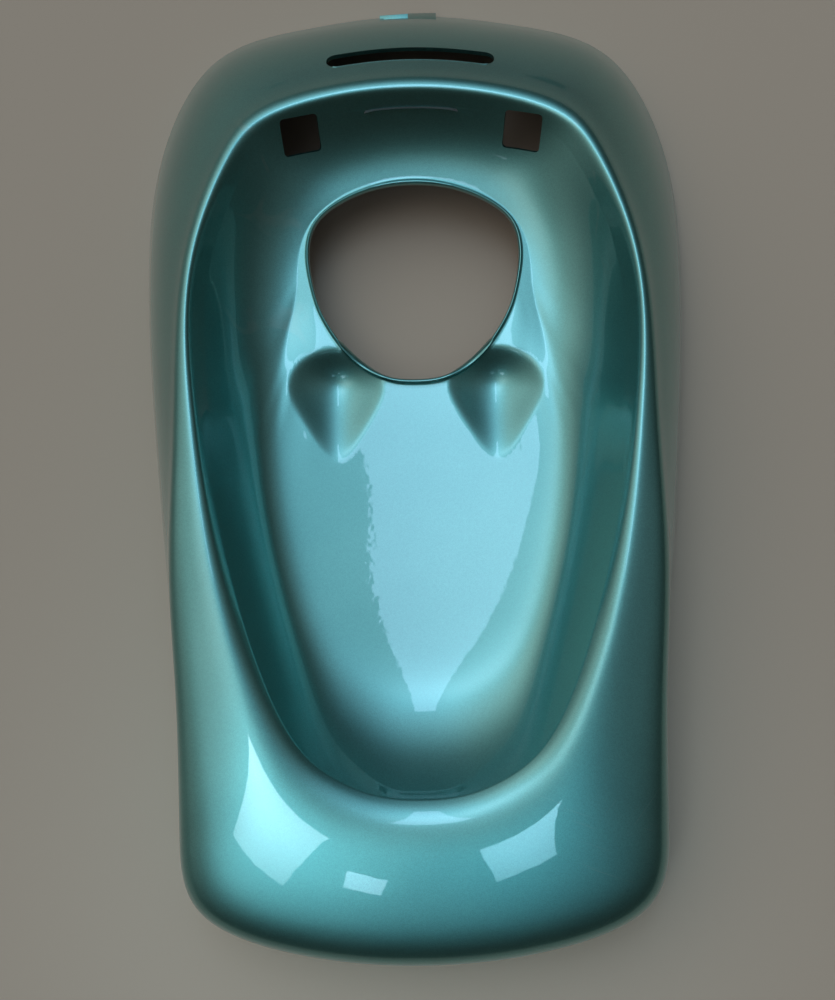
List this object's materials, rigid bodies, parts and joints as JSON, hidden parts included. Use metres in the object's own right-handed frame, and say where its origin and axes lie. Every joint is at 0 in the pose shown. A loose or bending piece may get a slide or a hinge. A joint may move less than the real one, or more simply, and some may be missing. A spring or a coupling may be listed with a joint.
{
  "type": "scooter leg shield",
  "caption": "Front leg shield of a big-wheel scooter: one moulded shell with an egg-shaped wheel recess and a beaded steering hole.",
  "frame": {"origin": "middle of the bounding box, in the plane of the rear edge that the shell rests on", "axes": "+Z out of the front face, +Y towards the top of the shield, +X to the right as seen from the front"},
  "size_m": [0.3436, 0.6, 0.0885],
  "materials": {
    "green_paint": "metallic teal-green paint under clear coat, lightly scratched"
  },
  "bodies": {
    "root": {"leg_shield": "green_paint"}
  },
  "joints": []
}
